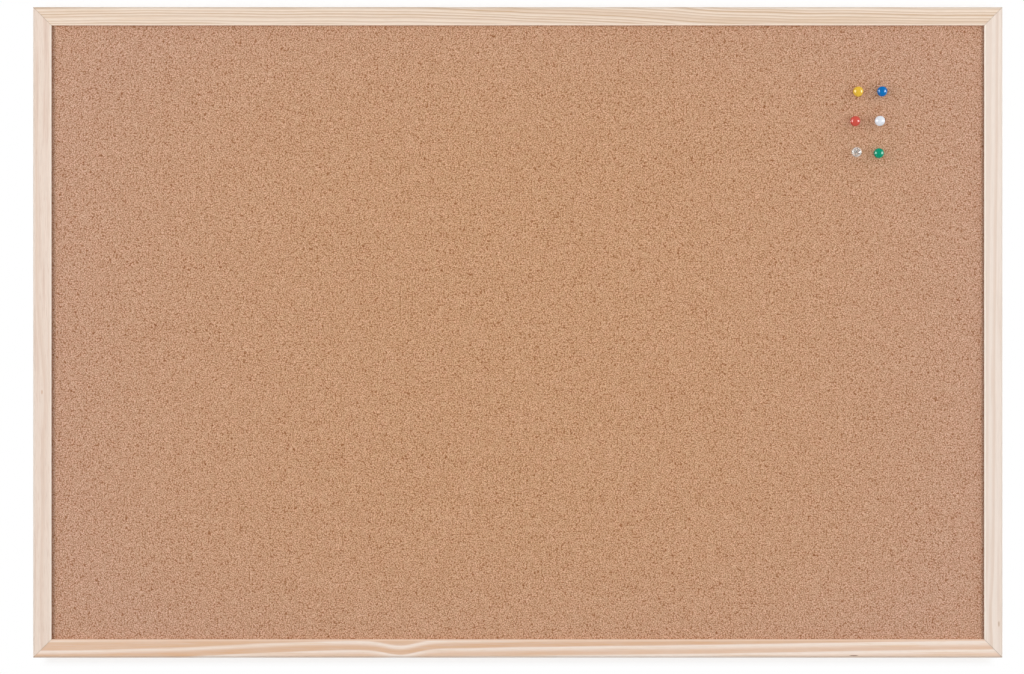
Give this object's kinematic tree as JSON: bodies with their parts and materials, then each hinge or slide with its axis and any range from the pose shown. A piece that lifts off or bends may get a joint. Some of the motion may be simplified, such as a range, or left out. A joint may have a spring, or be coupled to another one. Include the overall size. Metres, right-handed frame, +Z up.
{
  "type": "framed cork pin board",
  "caption": "Landscape cork board in a mitred pine frame, with push pins in its upper right corner and D-ring hangers on its back.",
  "frame": {"origin": "centre of the board, on the plane of the frame's back, which faces the wall", "axes": "+X to the right as seen from the front, +Y out of the back towards the wall, +Z up; the cork faces -Y"},
  "size_m": [0.9, 0.0289, 0.604],
  "materials": {
    "pine": "sanded pine, thin clear lacquer",
    "cork": "pressed fine cork granules, matte",
    "softboard": "raw wood-fibre softboard, matte",
    "hardboard": "smooth brown hardboard",
    "staple_steel": "bright wire",
    "zinc_steel": "zinc-plated, satin",
    "needle_steel": "polished needle steel",
    "pin_yellow": "glossy moulded",
    "pin_blue": "glossy moulded",
    "pin_red": "glossy moulded",
    "pin_white": "glossy moulded",
    "pin_clear": "clear moulded, the needle shows through",
    "pin_green": "glossy moulded"
  },
  "bodies": {
    "board": {"frame_rail_top": "pine", "frame_rail_bottom": "pine", "frame_stile_left": "pine", "frame_stile_right": "pine", "cork_sheet": "cork", "core_board": "softboard", "backing_sheet": "hardboard", "corner_staple_top_left_1": "staple_steel", "corner_staple_top_left_2": "staple_steel", "corner_staple_top_right_1": "staple_steel", "corner_staple_top_right_2": "staple_steel", "corner_staple_bottom_left_1": "staple_steel", "corner_staple_bottom_left_2": "staple_steel", "corner_staple_bottom_right_1": "staple_steel", "corner_staple_bottom_right_2": "staple_steel", "hanger_strap_left": "zinc_steel", "hanger_strap_right": "zinc_steel", "hanger_screw_left_1": "zinc_steel", "hanger_screw_left_2": "zinc_steel", "hanger_screw_right_1": "zinc_steel", "hanger_screw_right_2": "zinc_steel"},
    "ring_left": {"hanger_ring_left": "zinc_steel"},
    "ring_right": {"hanger_ring_right": "zinc_steel"},
    "pin_yellow": {"pin_head_yellow": "pin_yellow", "pin_needle_yellow": "needle_steel"},
    "pin_blue": {"pin_head_blue": "pin_blue", "pin_needle_blue": "needle_steel"},
    "pin_red": {"pin_head_red": "pin_red", "pin_needle_red": "needle_steel"},
    "pin_white": {"pin_head_white": "pin_white", "pin_needle_white": "needle_steel"},
    "pin_clear": {"pin_head_clear": "pin_clear", "pin_needle_clear": "needle_steel"},
    "pin_green": {"pin_head_green": "pin_green", "pin_needle_green": "needle_steel"}
  },
  "joints": [
    {"name": "ring_left_swing", "type": "hinge", "parent": "board", "child": "ring_left", "pos_m": [-0.4426, 0.0018, 0.227], "axis": [-1, 0, 0], "range_deg": [0, 160]},
    {"name": "ring_right_swing", "type": "hinge", "parent": "board", "child": "ring_right", "pos_m": [0.4426, 0.0018, 0.227], "axis": [-1, 0, 0], "range_deg": [0, 160]},
    {"name": "pin_yellow_pull", "type": "slide", "parent": "board", "child": "pin_yellow", "axis": [0, -1, 0], "range_m": [0, 0.03]},
    {"name": "pin_blue_pull", "type": "slide", "parent": "board", "child": "pin_blue", "axis": [0, -1, 0], "range_m": [0, 0.03]},
    {"name": "pin_red_pull", "type": "slide", "parent": "board", "child": "pin_red", "axis": [0, -1, 0], "range_m": [0, 0.03]},
    {"name": "pin_white_pull", "type": "slide", "parent": "board", "child": "pin_white", "axis": [0, -1, 0], "range_m": [0, 0.03]},
    {"name": "pin_clear_pull", "type": "slide", "parent": "board", "child": "pin_clear", "axis": [0, -1, 0], "range_m": [0, 0.03]},
    {"name": "pin_green_pull", "type": "slide", "parent": "board", "child": "pin_green", "axis": [0, -1, 0], "range_m": [0, 0.03]}
  ]
}
